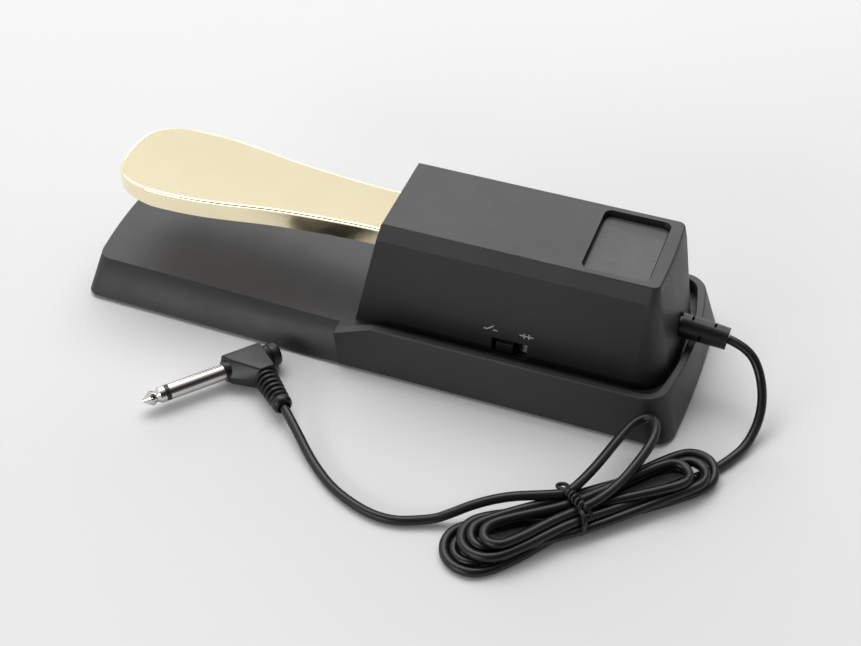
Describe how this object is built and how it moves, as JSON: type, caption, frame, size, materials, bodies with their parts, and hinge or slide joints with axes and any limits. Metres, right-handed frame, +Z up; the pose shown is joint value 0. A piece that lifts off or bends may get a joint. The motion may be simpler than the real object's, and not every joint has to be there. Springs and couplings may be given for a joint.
{
  "type": "sustain pedal",
  "caption": "Piano-style sustain foot pedal with a sprung metal lever, a weighted tray and hood, a polarity slide switch, and a tied cord with a right-angle phone plug.",
  "frame": {"origin": "on the floor, under the middle of the tray", "axes": "+X from the lever's toe to the cord end, +Y to the side away from the cord, +Z up"},
  "size_m": [0.2809, 0.1622, 0.0606],
  "materials": {
    "housing": "fine moulded texture, matte black",
    "plate": "smooth dark grey",
    "gold": "polished gold plating",
    "steel": "zinc plated",
    "nickel": "nickel plated, polished",
    "rubber": "matte rubber",
    "nylon": "natural nylon",
    "pvc": "satin black PVC",
    "board": "green board",
    "switch": "satin black",
    "felt": "grey felt"
  },
  "bodies": {
    "base": {"base_tray": "housing", "hood": "housing", "label_plate": "plate", "base_plate": "steel", "ballast_plate": "steel", "rubber_feet": "rubber", "plate_screws": "steel", "hood_screws": "steel", "pivot_bracket": "steel", "bracket_screws": "steel", "pivot_axle": "steel", "axle_clips": "steel", "return_spring": "steel", "spring_seat": "nylon", "down_stop_pad": "rubber", "up_stop_pad": "felt", "micro_switch_body": "switch", "switch_screws": "steel", "circuit_board": "board", "board_screws": "steel", "slide_switch_frame": "steel", "lead_connector": "nylon", "inner_lead": "pvc", "strain_relief": "pvc", "cord_tail": "pvc", "cord_hank": "pvc", "cord_ear": "pvc", "cord_lead": "pvc", "cord_tie": "pvc", "plug_body": "pvc", "plug_sleeve": "nickel", "plug_insulator": "switch", "plug_tip": "nickel"},
    "lever": {"pedal_lever": "gold", "pivot_bushes": "nylon"},
    "switch_leaf": {"switch_leaf": "steel"},
    "switch_plunger": {"switch_plunger": "nylon"},
    "slider": {"polarity_slider": "switch"}
  },
  "joints": [
    {"name": "lever_press", "type": "hinge", "parent": "base", "child": "lever", "pos_m": [0.064, 0, 0.045], "axis": [0, -1, 0], "range_deg": [0, 6], "stiffness_Nm_per_rad": 12, "springref_deg": -2.86, "deforming": ["return_spring"]},
    {"name": "leaf_swing", "type": "hinge", "parent": "base", "child": "switch_leaf", "pos_m": [0.0553, -0.0101, 0.0365], "axis": [0, -1, 0], "range_deg": [0, 9.6]},
    {"name": "plunger_travel", "type": "slide", "parent": "base", "child": "switch_plunger", "axis": [0, 0, -1], "range_m": [0, 0.0011]},
    {"name": "polarity_slide", "type": "slide", "parent": "base", "child": "slider", "axis": [1, 0, 0], "range_m": [0, 0.004]}
  ],
  "couplings": [
    {"joint": "leaf_swing", "follows": "lever_press", "ratio": 1.6},
    {"joint": "plunger_travel", "follows": "lever_press", "m_per_rad": 0.0105}
  ]
}
